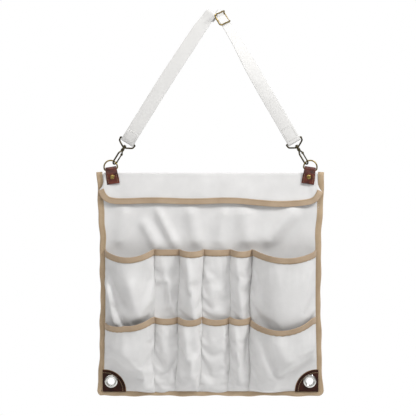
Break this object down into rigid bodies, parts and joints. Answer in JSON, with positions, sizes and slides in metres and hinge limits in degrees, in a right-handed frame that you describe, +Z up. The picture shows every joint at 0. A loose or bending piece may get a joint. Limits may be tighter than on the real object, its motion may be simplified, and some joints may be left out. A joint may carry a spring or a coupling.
{
  "type": "hanging canvas tool organizer",
  "caption": "Canvas wall organizer with two rows of bowed pockets, a flap, bound edges and leather corners, hung from a webbing strap on swivel hooks.",
  "frame": {"origin": "where the strap's fold rests on its peg, in the middle of the strap's thickness", "axes": "+X to the wearer's right as seen from the front, +Z up along the hang, front faces -Y"},
  "size_m": [0.406, 0.0504, 0.698],
  "materials": {
    "canvas": "matte plain weave",
    "binding": "matte cotton tape",
    "webbing": "matte canvas strap",
    "leather": "semi-gloss smooth",
    "antique_brass": "aged satin",
    "gunmetal": "dark antique satin",
    "nickel": "polished"
  },
  "bodies": {
    "strap": {"strap_webbing": "webbing", "left_eye": "gunmetal", "right_eye": "gunmetal"},
    "slider": {"strap_slider": "antique_brass"},
    "left_hook": {"left_hook": "gunmetal"},
    "left_gate": {"left_gate": "gunmetal"},
    "right_hook": {"right_hook": "gunmetal"},
    "right_gate": {"right_gate": "gunmetal"},
    "left_ring": {"left_ring": "antique_brass"},
    "right_ring": {"right_ring": "antique_brass"},
    "panel": {"back_panel": "canvas", "left_side_tape": "binding", "right_side_tape": "binding", "bottom_tape": "binding", "header_band": "canvas", "upper_pocket_1": "canvas", "upper_mouth_tape_1": "binding", "upper_pocket_2": "canvas", "upper_mouth_tape_2": "binding", "upper_pocket_3": "canvas", "upper_mouth_tape_3": "binding", "upper_pocket_4": "canvas", "upper_mouth_tape_4": "binding", "upper_pocket_5": "canvas", "upper_mouth_tape_5": "binding", "upper_pocket_6": "canvas", "upper_mouth_tape_6": "binding", "lower_pocket_1": "canvas", "lower_mouth_tape_1": "binding", "lower_pocket_2": "canvas", "lower_mouth_tape_2": "binding", "lower_pocket_3": "canvas", "lower_mouth_tape_3": "binding", "lower_pocket_4": "canvas", "lower_mouth_tape_4": "binding", "lower_pocket_5": "canvas", "lower_mouth_tape_5": "binding", "lower_pocket_6": "canvas", "lower_mouth_tape_6": "binding", "left_corner_leather": "leather", "left_grommet": "nickel", "left_grommet_washer": "nickel", "right_corner_leather": "leather", "right_grommet": "nickel", "right_grommet_washer": "nickel", "left_tab": "leather", "right_tab": "leather", "left_rivet": "antique_brass", "right_rivet": "antique_brass"},
    "flap": {"flap_cloth": "canvas", "flap_tape": "binding"}
  },
  "joints": [
    {"name": "left_ring_swing", "type": "hinge", "parent": "strap", "child": "left_ring", "pos_m": [-0.17646, 0.003, -0.25806], "axis": [1, 0, 0], "range_deg": [-15, 15]},
    {"name": "right_ring_swing", "type": "hinge", "parent": "strap", "child": "right_ring", "pos_m": [0.16646, 0.003, -0.25806], "axis": [1, 0, 0], "range_deg": [-15, 15]},
    {"name": "panel_swing", "type": "hinge", "parent": "left_ring", "child": "panel", "pos_m": [-0.1835, 0.003, -0.2715], "axis": [1, 0, 0], "range_deg": [-25, 25]},
    {"name": "flap_lift", "type": "hinge", "parent": "panel", "child": "flap", "pos_m": [-0.005, 0.0052, -0.301], "axis": [-1, 0, 0], "range_deg": [0, 100]},
    {"name": "left_hook_swivel", "type": "hinge", "parent": "strap", "child": "left_hook", "pos_m": [-0.1534, 0.003, -0.22118], "axis": [0.5302, 0, 0.8479], "range_deg": [-6, 40]},
    {"name": "left_gate_press", "type": "hinge", "parent": "left_hook", "child": "left_gate", "pos_m": [-0.16485, 0.00776, -0.24468], "axis": [-0.7343, 0.5, 0.4592], "range_deg": [0, 25], "stiffness_Nm_per_rad": 0.02, "springref_deg": -17.19},
    {"name": "right_hook_swivel", "type": "hinge", "parent": "strap", "child": "right_hook", "pos_m": [0.14436, 0.003, -0.22059], "axis": [-0.5081, 0, 0.8613], "range_deg": [-40, 6]},
    {"name": "right_gate_press", "type": "hinge", "parent": "right_hook", "child": "right_gate", "pos_m": [0.15994, -0.00176, -0.24159], "axis": [0.7459, 0.5, 0.44], "range_deg": [0, 25], "stiffness_Nm_per_rad": 0.02, "springref_deg": -17.19},
    {"name": "slider_slide", "type": "slide", "parent": "strap", "child": "slider", "axis": [0.5081, 0, -0.8613], "range_m": [0, 0.06]}
  ],
  "couplings": [
    {"joint": "right_ring_swing", "follows": "left_ring_swing", "ratio": 1}
  ]
}
